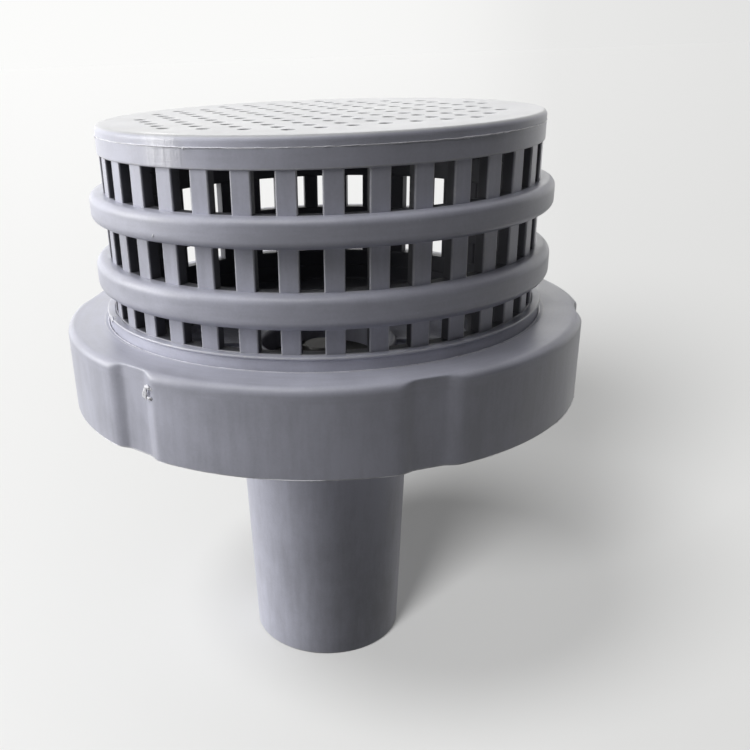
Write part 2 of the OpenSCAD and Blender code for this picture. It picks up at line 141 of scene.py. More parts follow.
class FootValveLight(bpy.types.PropertyGroup):
    window: watts("Window", "Power of the low soft lamp on the left", 12.0)
    sash: watts("Sash", "Power of the soft lamp above the low one on the left", 9.5)
    front: watts("Front", "Power of the high soft lamp in front on the left", 8.7)
    back_left: watts("Back left", "Power of the low soft lamp behind on the left", 2.6)
    back: watts("Back", "Power of the low soft lamp behind", 3.4)
    corner: watts("Corner", "Power of the low soft lamp behind on the right", 1.7)
    low_sun: FloatProperty(
        name="Low shadow",
        description="Strength of the low soft sun that lights the floor alone",
        default=3.8,
    )
    high_sun: FloatProperty(
        name="High shadow",
        description="Strength of the high soft sun that lights the floor alone",
        default=1.46,
    )


# ---------------------------------------------------------------- node trees


class Wire:
    """A node's output. Sums, products and powers on it add Math nodes to its tree."""

    def __init__(self, net, socket):
        self.net = net
        self.socket = socket

    def maths(self, operation, *values, clamp=False):
        settings = {"operation": operation, "use_clamp": clamp}
        return self.net.node("ShaderNodeMath", settings, dict(enumerate(values)))

    def __add__(self, other):
        return self.maths("ADD", self, other)

    __radd__ = __add__

    def __sub__(self, other):
        return self.maths("SUBTRACT", self, other)

    def __rsub__(self, other):
        return self.maths("SUBTRACT", other, self)

    def __mul__(self, other):
        return self.maths("MULTIPLY", self, other)

    __rmul__ = __mul__

    def __truediv__(self, other):
        return self.maths("DIVIDE", self, other)

    def clamped(self):
        return self.maths("ADD", self, 0.0, clamp=True)


class Net:
    """A node tree that is written as calls."""

    def __init__(self, tree):
        self.tree = tree

    def node(self, kind, settings=None, values=None, output=0):
        """Adds a node, sets its settings, then its sockets' values or links."""
        made = self.tree.nodes.new(kind)
        for name, value in (settings or {}).items():
            if name == "stops":
                self.set_stops(made.color_ramp, value)
            else:
                setattr(made, name, value)
        for name, value in (values or {}).items():
            if isinstance(value, Wire):
                self.tree.links.new(value.socket, made.inputs[name])
            else:
                made.inputs[name].default_value = value
        return Wire(self, made.outputs[output]) if made.outputs else None

    def set_stops(self, ramp, stops):
        while len(ramp.elements) < len(stops):
            ramp.elements.new(1.0)
        for element, (position, colour) in zip(ramp.elements, stops):
            element.position = position
            element.color = (*colour, 1.0)

    def place(self):
        return self.node("ShaderNodeTexCoord", output=3)

    def split(self, vector):
        """The three parts of a vector."""
        outputs = self.node("ShaderNodeSeparateXYZ", None, {0: vector}).socket.node.outputs
        return [Wire(self, part) for part in outputs]

    def moved(self, vector, by=(0, 0, 0), scale=(1, 1, 1)):
        settings = {"vector_type": "POINT"}
        values = {"Vector": vector, "Location": by, "Scale": scale}
        return self.node("ShaderNodeMapping", settings, values)

    def noise(self, vector, scale, detail=2.0, roughness=0.5):
        values = {"Vector": vector, "Scale": scale, "Detail": detail, "Roughness": roughness}
        return self.node("ShaderNodeTexNoise", None, values)

    def ramp(self, factor, stops):
        return self.node("ShaderNodeValToRGB", {"stops": stops}, {"Fac": factor})

    def step(self, value, low, high, to_low=0.0, to_high=1.0):
        """Smooth step of a value from low to high."""
        settings = {"interpolation_type": "SMOOTHSTEP"}
        values = {"Value": value, "From Min": low, "From Max": high}
        values.update({"To Min": to_low, "To Max": to_high})
        return self.node("ShaderNodeMapRange", settings, values)

    def mix(self, factor, first, second):
        """Mix of two colours."""
        values = {0: factor, 6: first, 7: second}
        return self.node("ShaderNodeMix", {"data_type": "RGBA"}, values, output=2)

    def length(self, vector):
        return self.node("ShaderNodeVectorMath", {"operation": "LENGTH"}, {0: vector}, output=1)

    def radius(self, place):
        """How far a place is from the Z axis."""
        values = {0: place, 1: (1, 1, 0)}
        return self.length(self.node("ShaderNodeVectorMath", {"operation": "MULTIPLY"}, values))

    def attribute(self, name):
        return self.node("ShaderNodeAttribute", {"attribute_name": name}, output=2)

    def bump(self, height, distance, strength, normal=None):
        values = {"Height": height, "Distance": distance, "Strength": strength}
        if normal is not None:
            values["Normal"] = normal
        return self.node("ShaderNodeBump", None, values)

    def surface(self, values):
        """Principled surface on the material's output."""
        shader = self.node("ShaderNodeBsdfPrincipled", None, values)
        self.node("ShaderNodeOutputMaterial", None, {"Surface": shader})


def shader(name):
    """A new material with an empty node tree."""
    material = bpy.data.materials.new(name)
    material.use_nodes = True
    material.node_tree.nodes.clear()
    return material, Net(material.node_tree)


def tinted(colour, factor):
    return tuple(min(1.0, value * factor) for value in colour)


def solid(colour):
    return (*colour, 1.0)


# ---------------------------------------------------------------- finishes


def moulded_pvc(
    name,
    colour,
    worn_and_highlit,
    seed,
    gloss=0.37,
    painted_shade=None,
    turned=(BEYOND, BEYOND),
    smear_and_highlight=False,
    dust_and_sheen_above=BEYOND,
):
    """Moulded PVC: cloudy tone, flow streaks, a satin skin, dust specks, and rubbed edges that are partly a
    painted highlight.

    The painted shade, given as (radius, radius, height), darkens the skin between the radii and below
    the height, where the inside lies in shade. Streaks run round the axis beyond the turned radius or
    above the turned height, and upright elsewhere. Fine pale dust, lightened further as a painted
    sheen, lies above the given dust height. All of these are in mm. The smear adds a pale wiped patch
    on the rim's left, glossier and painted paler as a highlight.
    """
    material, net = shader(name)
    spot = net.place()
    x, y, height = net.split(spot)
    radius = net.radius(spot)
    place = net.moved(spot, by=(seed, 0.31 * seed, 0.17 * seed))
    cloud = net.noise(place, 24.0, 3.0)
    blotch = net.noise(place, 75.0, 4.0, 0.62)
    upright_flow = net.noise(net.moved(place, scale=(1.0, 1.0, 0.16)), 260.0, 3.0, 0.6)
    hoop = net.node("ShaderNodeCombineXYZ", None, {0: radius, 1: height, 2: 0.09 * (x - y) + seed})
    round_flow = net.noise(hoop, 330.0, 3.0, 0.62)
    wide = net.step(radius, turned[0] * MM, (turned[0] + 0.6) * MM)
    high = net.step(height, turned[1] * MM, (turned[1] + 1.5) * MM)
    round_share = (wide + high).clamped()
    flow = upright_flow + (round_flow - upright_flow) * round_share
    fine = net.noise(place, 1300.0, 2.0, 0.6)
    skin = net.noise(place, 420.0, 2.0, 0.55)
    sink = net.noise(place, 62.0, 1.0)
    tone = cloud * 0.34 + blotch * 0.26 + flow * 0.30 + fine * 0.10
    base = net.ramp(tone, [(0.40, tinted(colour, 0.85)), (0.60, tinted(colour, 1.14))])
    cells = net.node("ShaderNodeTexVoronoi", {"feature": "F1"}, {"Vector": place, "Scale": 230.0})
    speck = net.step(cells, 0.045, 0.02) * net.step(cloud, 0.50, 0.62)
    rub = net.step(net.noise(place, 330.0, 3.0, 0.7), 0.42, 0.66)
    edge = net.attribute("edge")
    # Small outward edges turn paler: rubbed wear and a painted highlight.
    base = net.mix(edge * (rub * 0.50 + 0.40), base, solid(worn_and_highlit))
    base = net.mix(speck * 0.5, base, solid(tinted(worn_and_highlit, 1.25)))
    rough = gloss + 0.12 * (cloud - 0.5) + 0.18 * (flow - 0.5) + 0.14 * (blotch - 0.5)
    relief = skin * 0.6 + fine * 0.25 + flow * 0.15
    # A glossier wiped patch, painted paler as a highlight on the rim's left.
    if smear_and_highlight:
        ragged = x + 0.004 * (blotch - 0.5)
        highlight_patch = net.step(x, -0.0510, -0.0455) * net.step(ragged, -0.0345, -0.0415)
        highlight_patch = highlight_patch * net.step(y, 0.0, -0.010) * net.step(height, 0.1880, 0.1895)
        highlight_patch = highlight_patch * net.step(radius, 0.0700, 0.0715)
        drips = net.noise(net.moved(place, scale=(1.0, 1.0, 0.10)), 620.0, 2.0)
        combed = net.noise(net.moved(place, scale=(0.06, 0.06, 1.0)), 900.0, 2.0)
        base = net.mix(highlight_patch * (0.10 + drips * 0.6), base, solid(tinted(worn_and_highlit, 1.3)))
        rough = rough - highlight_patch * 0.16
        relief = relief + highlight_patch * (drips * 5.0 + combed * 2.0)
    # Painted shade: the skin darkens inside, between the radii and below the height, where shade falls.
    if painted_shade is not None:
        low, high, top = (value * MM for value in painted_shade)
        inside = net.step(radius, high, low) * net.step(height, top, top - 0.0008)
        base = net.mix(inside * 0.95, base, solid(tinted(colour, 0.16)))
        rough = rough + inside * 0.15
    # Pale dust on the top, lightened further as a painted sheen.
    dust = net.step(height, dust_and_sheen_above * MM, (dust_and_sheen_above + 0.7) * MM) * (0.70 + 0.5 * (blotch - 0.5))
    base = net.mix(dust, base, solid(DUST_AND_SHEEN))
    wave = net.bump(sink, 0.00035, 0.5)
    grain = net.bump(relief, 0.00007, 0.6, wave)
    net.surface({"Base Color": base, "Roughness": rough.clamped(), "Normal": grain})
    return material


def weld_flash(name, colour):
    """Thin squeezed-out PVC: glossier and lumpy, and paler, partly as a painted highlight along its thin
    lines.
    """
    material, net = shader(name)
    place = net.place()
    lump = net.noise(place, 260.0, 3.0, 0.6)
    base = net.ramp(lump, [(0.3, tinted(colour, 1.5)), (0.7, tinted(colour, 2.1))])
    rough = 0.20 + 0.2 * lump
    grain = net.bump(lump, 0.0003, 0.6)
    net.surface({"Base Color": base, "Roughness": rough, "Normal": grain})
    return material


def seal_rubber(name, colour):
    """Moulded rubber with a fine dry grain and traces of talc."""
    material, net = shader(name)
    place = net.place()
    dust = net.noise(place, 90.0, 4.0, 0.65)
    fine = net.noise(place, 2400.0, 2.0, 0.6)
    base = net.ramp(dust, [(0.35, colour), (0.75, tinted(colour, 2.6))])
    rough = 0.50 + 0.22 * (dust - 0.5) + 0.10 * (fine - 0.5)
    grain = net.bump(fine, 0.00004, 0.6)
    net.surface({"Base Color": base, "Roughness": rough, "Normal": grain})
    return material


def turned_steel(name, colour, gloss=0.24):
    """Stainless steel with turning rings about the axis, light handling marks and water film."""
    material, net = shader(name)
    place = net.place()
    values = {"W": net.radius(place), "Scale": 3800.0}
    rings = net.node("ShaderNodeTexNoise", {"noise_dimensions": "1D"}, values)
    film = net.noise(place, 120.0, 3.0, 0.6)
    marks = net.noise(net.moved(place, scale=(1.0, 0.12, 1.0)), 900.0, 3.0, 0.7)
    base = net.ramp(film, [(0.3, tinted(colour, 0.86)), (0.7, tinted(colour, 1.08))])
    rough = gloss + 0.20 * (rings - 0.5) + 0.16 * (film - 0.5) + 0.10 * (marks - 0.5)
    grain = net.bump(rings * 0.8 + marks * 0.2, 0.00002, 0.6)
    values = {"Base Color": base, "Metallic": 1.0, "Roughness": rough.clamped(), "Normal": grain}
    net.surface(values)
    return material


def drawn_steel(name, colour):
    """Drawn spring wire: satin, with short die lines and a faint straw tint."""
    material, net = shader(name)
    place = net.place()
    lines = net.noise(net.moved(place, scale=(1.0, 1.0, 6.0)), 700.0, 3.0, 0.7)
    tint = net.noise(place, 160.0, 2.0)
    base = net.ramp(tint, [(0.3, tinted(colour, 0.8)), (0.7, tinted(colour, 1.05))])
    rough = 0.28 + 0.24 * (lines - 0.5)
    grain = net.bump(lines, 0.00002, 0.6)
    net.surface({"Base Color": base, "Metallic": 1.0, "Roughness": rough, "Normal": grain})
    return material


def bush_acetal(name, colour):
    """Machined acetal: waxy, off-white, with fine tool rings."""
    material, net = shader(name)
    place = net.place()
    rings = net.noise(net.moved(place, scale=(0.02, 0.02, 1.0)), 5200.0, 1.0)
    cloud = net.noise(place, 110.0, 2.0)
    base = net.ramp(cloud, [(0.3, tinted(colour, 0.93)), (0.7, tinted(colour, 1.05))])
    rough = 0.36 + 0.14 * (rings - 0.5) + 0.10 * (cloud - 0.5)
    grain = net.bump(rings, 0.00002, 0.5)
    net.surface({"Base Color": base, "Roughness": rough, "Normal": grain})
    return material


# Each moulding's PVC: tint of its colour, tint of its worn and highlit edges, seed and further settings
MOULDINGS = {
    # The tints of the one PVC differ part by part as painted light and shade, set to how brightly each part
    # is lit.
    "body pvc": (1.36, 1.0, 3.1, {}),
    # The guide and the poppet's disc take a dark copy of the PVC: painted shade, for the shade inside the
    # valve.
    "pvc in painted shade inside": (0.35, 0.4, 5.7, {}),
    "seat pvc": (1.15, 1.0, 5.2, {"gloss": 0.24}),
    "collar pvc": (1.25, 1.0, 2.2, {"gloss": 0.34, "painted_shade": (71.8, 72.8, BEYOND), "turned": (0, 0)}),
    "cage pvc": (1.09, 1.0, 1.3, {"painted_shade": (72.0, 72.75, BEYOND), "turned": (73.0, BEYOND), "smear_and_highlight": True}),
    "cap pvc": (1.16, 1.0, 8.9, {
        "painted_shade": (67.0, 70.0, 197.0),
        "turned": (72.0, BEYOND),
        "smear_and_highlight": True,
        "dust_and_sheen_above": 197.2,
    }),
    "nut pvc": (1.04, 1.0, 0.4, {"painted_shade": (75.6, 75.9, 132.5), "turned": (BEYOND, 129)}),
}


def finish(context, kind):
    """The material of one kind of surface, made when it is first asked for."""
    made = bpy.data.materials.get(kind)
    if made is not None:
        return made
    colours = context.scene.foot_valve_colours
    pvc, worn_and_highlit, steel = tuple(colours.pvc), tuple(colours.worn_and_highlit), tuple(colours.steel)
    if kind in MOULDINGS:
        tint, worn_and_highlit_tint, seed, settings = MOULDINGS[kind]
        return moulded_pvc(kind, tinted(pvc, tint), tinted(worn_and_highlit, worn_and_highlit_tint), seed, **settings)
    makers = {
        "flash with painted highlight": lambda: weld_flash(kind, tinted(worn_and_highlit, 0.78)),
        "seal rubber": lambda: seal_rubber(kind, tuple(colours.rubber)),
        "turned steel": lambda: turned_steel(kind, steel),
        # The bolt's and the retainer's steel are dark copies of the steel: painted shade, for the shade
        # inside the valve.
        "bolt metal in painted shade": lambda: turned_steel(kind, tinted(steel, 0.38), 0.46),
        "retainer metal in painted shade": lambda: turned_steel(kind, tinted(steel, 0.15), 0.5),
        "spring steel": lambda: drawn_steel(kind, tinted(steel, 0.85)),
        "bush acetal": lambda: bush_acetal(kind, tuple(colours.acetal)),
    }
    return makers[kind]()


# ---------------------------------------------------------------- meshes


def wrapped(turn):
    """The same turn between minus and plus half a turn."""
    return (turn + math.pi) % (2 * math.pi) - math.pi


def rounded(corners):
    """Outline in mm through corners (across, up, fillet), and how much of an edge each point is.

    The outline runs anticlockwise. A point next to each fillet keeps the flats flat. Only
    outward fillets under a set size count as an edge, which the finishes pale as rubbed wear and a painted
    highlight.
    """
    facet_turn, facet_length, edge_fillet_limit = 0.42, 0.55, 1.2
    spots = np.array([corner[:2] for corner in corners], float)
    ahead = np.roll(spots, -1, axis=0)
    if np.sum(spots[:, 0] * ahead[:, 1] - ahead[:, 0] * spots[:, 1]) < 0:
        return rounded(corners[::-1])
    points, edges = [], []
    for k, (_, _, fillet) in enumerate(corners):
        spot = spots[k]
        back, front = spots[k - 1] - spot, ahead[k] - spot
        back_length, front_length = np.hypot(*back), np.hypot(*front)
        back, front = back / back_length, front / front_length
        half = math.acos(max(-1.0, min(1.0, float(back @ front)))) / 2
        if fillet <= 0 or half > math.pi / 2 - 1e-3:
            points.append(spot)
            edges.append(0.0)
            continue
        limit = 0.49 * min(back_length, front_length)
        cut = min(fillet / math.tan(half), limit)
        fillet = cut * math.tan(half)
        bisector = (back + front) / np.hypot(*(back + front))
        centre = spot + bisector * fillet / math.sin(half)
        first, last = spot + back * cut, spot + front * cut
        start = math.atan2(*(first - centre)[::-1])
        turn = wrapped(math.atan2(*(last - centre)[::-1]) - start)
        arc = fillet * abs(turn)
        facets = max(math.ceil(abs(turn) / facet_turn), math.ceil(arc / facet_length))
        points.append(first + back * min(0.3 * fillet, 0.4 * (back_length - cut)))
        edges.append(0.0)
        for step in range(facets + 1):
            angle = start + turn * step / facets
            points.append(centre + fillet * np.array([math.cos(angle), math.sin(angle)]))
            edges.append(1.0 if turn > 0 and fillet < edge_fillet_limit else 0.0)
        points.append(last + front * min(0.3 * fillet, 0.4 * (front_length - cut)))
        edges.append(0.0)
    return np.array(points), np.array(edges)


def upright(radius, start, end, rows):
    """Corners up or down a straight wall, close enough together to carry a thread."""
    return [(radius, start + (end - start) * k / rows, 0) for k in range(rows + 1)]


def around(step, marks=(), near=0.0, fine=0.5):
    """Angles in degrees round the axis, closer together within near of each mark."""
    angles = []
    angle = 0.0
    while angle < 360 - 0.3 * fine:
        angles.append(angle)
        close = any(abs((angle - mark + 180) % 360 - 180) < near for mark in marks)
        angle += fine if close else step
    return angles


def lathe(corners, angles, bend=None):
    """Shape of an outline turned about the axis, as (spots, faces, edges).

    bend changes the radii and heights at each angle.
    """
    outline, edges = rounded(corners)
    turn = np.radians(angles)[:, None]
    radius = np.repeat(outline[None, :, 0], len(angles), axis=0)
    height = np.repeat(outline[None, :, 1], len(angles), axis=0)
    if bend is not None:
        radius, height = bend(turn, radius, height)
    spots = np.stack([radius * np.cos(turn), radius * np.sin(turn), height], axis=-1)
    columns, rows = radius.shape
    column, row = np.arange(columns)[:, None], np.arange(rows)[None, :]
    next_column, next_row = (column + 1) % columns, (row + 1) % rows
    quads = [column * rows + row, next_column * rows + row]
    quads += [next_column * rows + next_row, column * rows + next_row]
    faces = np.stack(np.broadcast_arrays(*quads), axis=-1).reshape(-1, 4)
    return spots.reshape(-1, 3) * MM, faces.tolist(), np.tile(edges, columns)


def prism(corners, start, end, along="z"):
    """Shape of an outline drawn out along an axis, as (spots, faces, edges)."""
    outline, edges = rounded(corners)
    count = len(outline)
    spots = np.zeros((2 * count, 3))
    plane = (0, 1) if along == "z" else (1, 2)
    spots[:, plane] = np.tile(outline, (2, 1))
    spots[:, 2 if along == "z" else 0] = np.repeat([start, end], count)
    faces = [(k, (k + 1) % count, (k + 1) % count + count, k + count) for k in range(count)]
    faces += [tuple(range(count))[::-1], tuple(range(count, 2 * count))]
    return spots * MM, faces, np.tile(edges, 2)


def joined(*shapes):
    """One shape of several."""
    spots, faces, edges = [], [], []
    start = 0
    for some_spots, some_faces, some_edges in shapes:
        spots.append(some_spots)
        faces += [[start + spot for spot in face] for face in some_faces]
        edges.append(some_edges)
        start += len(some_spots)
    return np.concatenate(spots), faces, np.concatenate(edges)


def piece(name, shape, material, sharp=SHARP):
    """A smooth-shaded object from (spots, faces, edges), with its poles closed."""
    spots, faces, edges = shape
    data = bpy.data.meshes.new(name)
    data.from_pydata(spots.tolist(), [], faces)
    layer = data.attributes.new("edge", "FLOAT", "POINT")
    layer.data.foreach_set("value", edges.astype(np.float32))
    if np.min(np.hypot(spots[:, 0], spots[:, 1])) < 1e-9:
        work = bmesh.new()
        work.from_mesh(data)
        poles = [spot for spot in work.verts if spot.co.xy.length < 1e-9]
        bmesh.ops.remove_doubles(work, verts=poles, dist=1e-6)
        loose = [line for line in work.edges if not line.link_faces]
        bmesh.ops.delete(work, geom=loose, context="EDGES")
        work.to_mesh(data)
        work.free()
    data.materials.append(material)
    data.shade_smooth()
    data.set_sharp_from_angle(angle=math.radians(sharp))
    made = bpy.data.objects.new(name, data)
    bpy.context.scene.collection.objects.link(made)
    return made


def settle(made, body, slot, *nodes):
    """Puts a piece on its body, in place of its nodes. The slot is not used."""
    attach(made, body)
    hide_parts(*nodes)


def repaint(material, *names):
    """Gives CAD nodes a finish."""
    for name in names:
        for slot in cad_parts[name].material_slots:
            slot.material = material


def coil(turn, height, pitch):
    """Height of a right-hand thread's ridge, from 0 at the root to 1 at the crest."""
    width, flank = 0.65, 0.3
    phase = (height / pitch - turn / (2 * math.pi)) % 1.0
    ridge = np.clip((width - 2 * np.abs(phase - 0.5)) / flank, 0, 1)
    return ridge * ridge * (3 - 2 * ridge)


def fade(height, low, high, run):
    """1 between low and high, falling to 0 over run at both ends."""
    return np.clip(np.minimum(height - low, high - height) / run, 0, 1)


def soft_least(first, second, blend):
    """The lesser of two, rounded where they meet."""
    near = np.clip(blend - np.abs(first - second), 0, None) / blend
    return np.minimum(first, second) - near * near * blend / 4


def hexagon(flats):
    """A bend that trims a turned outline to a hexagon that wide across its flats."""

    def trim(turn, radius, height):
        side = turn % (math.pi / 3) - math.pi / 6
        return np.minimum(radius, flats / 2 / np.cos(side)), height

    return trim


# ---------------------------------------------------------------- Geometry Nodes


def geometry_tree(name, inputs):
    """A Geometry Nodes tree with named inputs, as (net, a Wire for each input)."""
    tree = bpy.data.node_groups.new(name, "GeometryNodeTree")
    tree.interface.new_socket("Geometry", in_out="INPUT", socket_type="NodeSocketGeometry")
    for label, kind in inputs:
        tree.interface.new_socket(label, in_out="INPUT", socket_type=kind)
    tree.interface.new_socket("Geometry", in_out="OUTPUT", socket_type="NodeSocketGeometry")
    net = Net(tree)
    entry = tree.nodes.new("NodeGroupInput")
    return net, {socket.name: Wire(net, socket) for socket in entry.outputs if socket.name}


def close_tree(net, geometry, material):
    """Realises the instances, sets the material and leads to the tree's output."""
    real = net.node("GeometryNodeRealizeInstances", None, {"Geometry": geometry})
    dressed = net.node("GeometryNodeSetMaterial", None, {"Geometry": real, "Material": material})
    out = net.tree.nodes.new("NodeGroupOutput")
    net.tree.links.new(dressed.socket, out.inputs["Geometry"])
    return net.tree


def ring_tree():
    """Repeats a shape round the Z axis."""
    name = "Repeat round the axis"
    if name in bpy.data.node_groups:
        return bpy.data.node_groups[name]
    inputs = [("Count", "NodeSocketInt"), ("First turn", "NodeSocketFloat")]
    inputs.append(("Finish", "NodeSocketMaterial"))
    net, given = geometry_tree(name, inputs)
    spots = net.node("GeometryNodePoints", None, {"Count": given["Count"]})
    index = net.node("GeometryNodeInputIndex")
    turn = given["First turn"] + index * (2 * math.pi) / given["Count"]
    facing = net.node("ShaderNodeCombineXYZ", None, {"Z": turn})
    values = {"Points": spots, "Instance": given["Geometry"], "Rotation": facing}
    shapes = net.node("GeometryNodeInstanceOnPoints", None, values)
    return close_tree(net, shapes, given["Finish"])


def perforation_tree():
    """Cuts a plate with a square grid of one cutter, inside a round field."""
    inputs = [
        ("Cutter", "NodeSocketObject"),
        ("Pitch", "NodeSocketFloat"),
        ("Rows", "NodeSocketInt"),
        ("Shift", "NodeSocketVector"),
        ("Turn", "NodeSocketFloat"),
        ("Field radius", "NodeSocketFloat"),
        ("Finish", "NodeSocketMaterial"),
    ]
    net, given = geometry_tree("Perforate a plate", inputs)
    side = given["Pitch"] * (given["Rows"] - 1.0)
    values = {"Size X": side, "Size Y": side}
    values.update({"Vertices X": given["Rows"], "Vertices Y": given["Rows"]})
    grid = net.node("GeometryNodeMeshGrid", None, values)
    facing = net.node("ShaderNodeCombineXYZ", None, {"Z": given["Turn"]})
    values = {"Geometry": grid, "Translation": given["Shift"]}
    shifted = net.node("GeometryNodeTransform", None, values)
    turned = net.node("GeometryNodeTransform", None, {"Geometry": shifted, "Rotation": facing})
    where = net.node("GeometryNodeInputPosition")
    far = net.length(where)
    outside = far.maths("GREATER_THAN", far, given["Field radius"])
    values = {"Geometry": turned, "Selection": outside}
    kept = net.node("GeometryNodeDeleteGeometry", {"domain": "POINT"}, values)
    values = {"Object": given["Cutter"]}
    cutter = net.node("GeometryNodeObjectInfo", None, values, output="Geometry")
    values = {"Points": kept, "Instance": cutter}
    cutters = net.node("GeometryNodeInstanceOnPoints", None, values)
    solid_cutters = net.node("GeometryNodeRealizeInstances", None, {"Geometry": cutters})
    settings = {"operation": "DIFFERENCE", "solver": "EXACT"}
    values = {"Mesh 1": given["Geometry"], "Mesh 2": solid_cutters}
    cut = net.node("GeometryNodeMeshBoolean", settings, values)
    return close_tree(net, cut, given["Finish"])


def grown(made, tree, values):
    """Runs a tree on a piece and leaves the result as its plain mesh."""
    modifier = made.modifiers.new("Growth", "NODES")
    modifier.node_group = tree
    for item in tree.interface.items_tree:
        if item.in_out == "INPUT" and item.name in values:
            modifier[item.identifier] = values[item.name]
    made.update_tag()
    graph = bpy.context.evaluated_depsgraph_get()
    result = bpy.data.meshes.new_from_object(made.evaluated_get(graph), depsgraph=graph)
    if not len(result.polygons):
        raise RuntimeError(f"{made.name} came out empty")
    made.modifiers.remove(modifier)
    made.data = result
    result.shade_smooth()
    result.set_sharp_from_angle(angle=math.radians(SHARP))
    return made


def ring_of(name, shape, material, count, first=0.0):
    """A piece of count like shapes, evenly round the axis."""
    values = {"Count": count, "First turn": first, "Finish": material}
    return grown(piece(name, shape, material), ring_tree(), values)


# ---------------------------------------------------------------- pieces


class FOOTVALVE_OT_valve_body(bpy.types.Operator):
    """Turns the socket, neck, bowl and threaded flange, with the webs of its cored pocket"""

    bl_idname = "foot_valve.valve_body"
    bl_label = "Valve body"

    def execute(self, context):
        sizes = context.scene.foot_valve_sizes
        edge = sizes.edge / MM
        pitch, depth = sizes.thread_pitch / MM, sizes.thread_depth / MM
        base, top, crest = reach("valve_body")
        cone = math.radians(28.8)
        slope, wall = math.tan(cone), 5 / math.cos(cone)
        neck, stop, ledge = 79.0, 31.0, 35.0
        bowl, shell, pipe, waterway = 52.0, 57.0, 25.0, 27.64
        flange, groove = top - 13.7, top - 6.2
        ring_floor, seat, seal_floor = top - 2.6, top - 7.7, top - 9.48
        corners = [
            (27.85, base, 0.25),
            (28.7, base + 0.85, 0.5),
            (31.24, neck, 5.0),
            (shell, neck + 25.76 * slope, 8.0),
            (shell, flange - 5.5, 2.0),
            (62.5, flange, edge),
            (62.5, groove, 1.0),
            (77.3, groove, 1.0),
            (77.3, flange, edge),
            (crest - depth, flange, 0),
            *upright(crest, flange + 0.05, top - 0.05, 56),
            (crest - depth, top, 0),
            (72.16, top, 0.2),
            (72.16, ring_floor, 0.3),
            (67.84, ring_floor, 0.3),
            (67.84, top, 0.2),
            (shell, top, edge),
            (shell, seat, 0.3),
            (55.83, seat, 0.15),
            (55.83, seal_floor, 0.2),
            (53.17, seal_floor, 0.2),
            (53.17, seat, 0.15),
            (bowl, seat, edge),
            (bowl, neck + 20.76 * slope + wall, 3.0),
            (waterway, neck - 3.6 * slope + wall, 0.6),
            (waterway, 75.0, 0.2),
            (25.54, 75.0, edge),
            (24.24, ledge, 1.0),
            (22.5, ledge, edge),
            (22.5, stop, edge),
            (pipe, stop, 0.3),
            (pipe, base + 0.8, 0.3),
            (25.8, base, 0.2),
        ]

        def cut_thread(turn, radius, height):
            ridge = coil(turn, height, pitch) * fade(height, flange, top, 1.6)
            on_wall = radius > crest - 0.01
            return np.where(on_wall, radius - depth * (1 - ridge), radius), height

        material = finish(context, "body pvc")
        body = piece("body_moulding", lathe(corners, around(1.5), cut_thread), material)
        settle(body, "valve", "pvc_grey", "valve_body")
        section = [(-1.5, flange + 0.6, 0.5), (1.5, flange + 0.6, 0.5)]
        section += [(1.5, top - 5.6, 0), (-1.5, top - 5.6, 0)]
        webs = ring_of("flange_webs", prism(section, 61.9, 77.9, "x"), material, 12)
        settle(webs, "valve", "pvc_grey", "valve_body")
        return {"FINISHED"}


class FOOTVALVE_OT_seat(bpy.types.Operator):
    """Turns the seat ring and sets its ribs, and gives both O-rings their rubber"""

    bl_idname = "foot_valve.seat"
    bl_label = "Seat ring and O-rings"

    def execute(self, context):
        edge = context.scene.foot_valve_sizes.edge / MM
        lip, top, outer = reach("seat_ring")
        ledge, web = lip + 2.0, lip + 6.5
        port, seal = 22.0, 24.5
        corners = [
            (port, lip, 0.3),
            (seal, lip, 0.5),
            (seal, ledge, 0.3),
            (outer, ledge, edge),
            (outer, top, 0.5),
            (52.0, top, 0.5),
            (52.0, web, 0.6),
            (27.0, web, 0.6),
            (27.0, web + 2.0, 1.25),
            (port, web + 2.0, 1.25),
        ]
        material = finish(context, "seat pvc")
        plate = piece("seat_plate", lathe(corners, around(3.0)), material)
        settle(plate, "valve", "pvc_grey", "seat_ring")
        section = [(-1.25, web - 0.6, 0), (1.25, web - 0.6, 0)]
        section += [(1.25, web + 1.4, edge), (-1.25, web + 1.4, edge)]
        ribs = ring_of("seat_ribs", prism(section, 26.4, 52.5, "x"), material, 8)
        settle(ribs, "valve", "pvc_grey", "seat_ring")
        repaint(finish(context, "seal rubber"), "seat_o_ring", "union_o_ring")
        return {"FINISHED"}


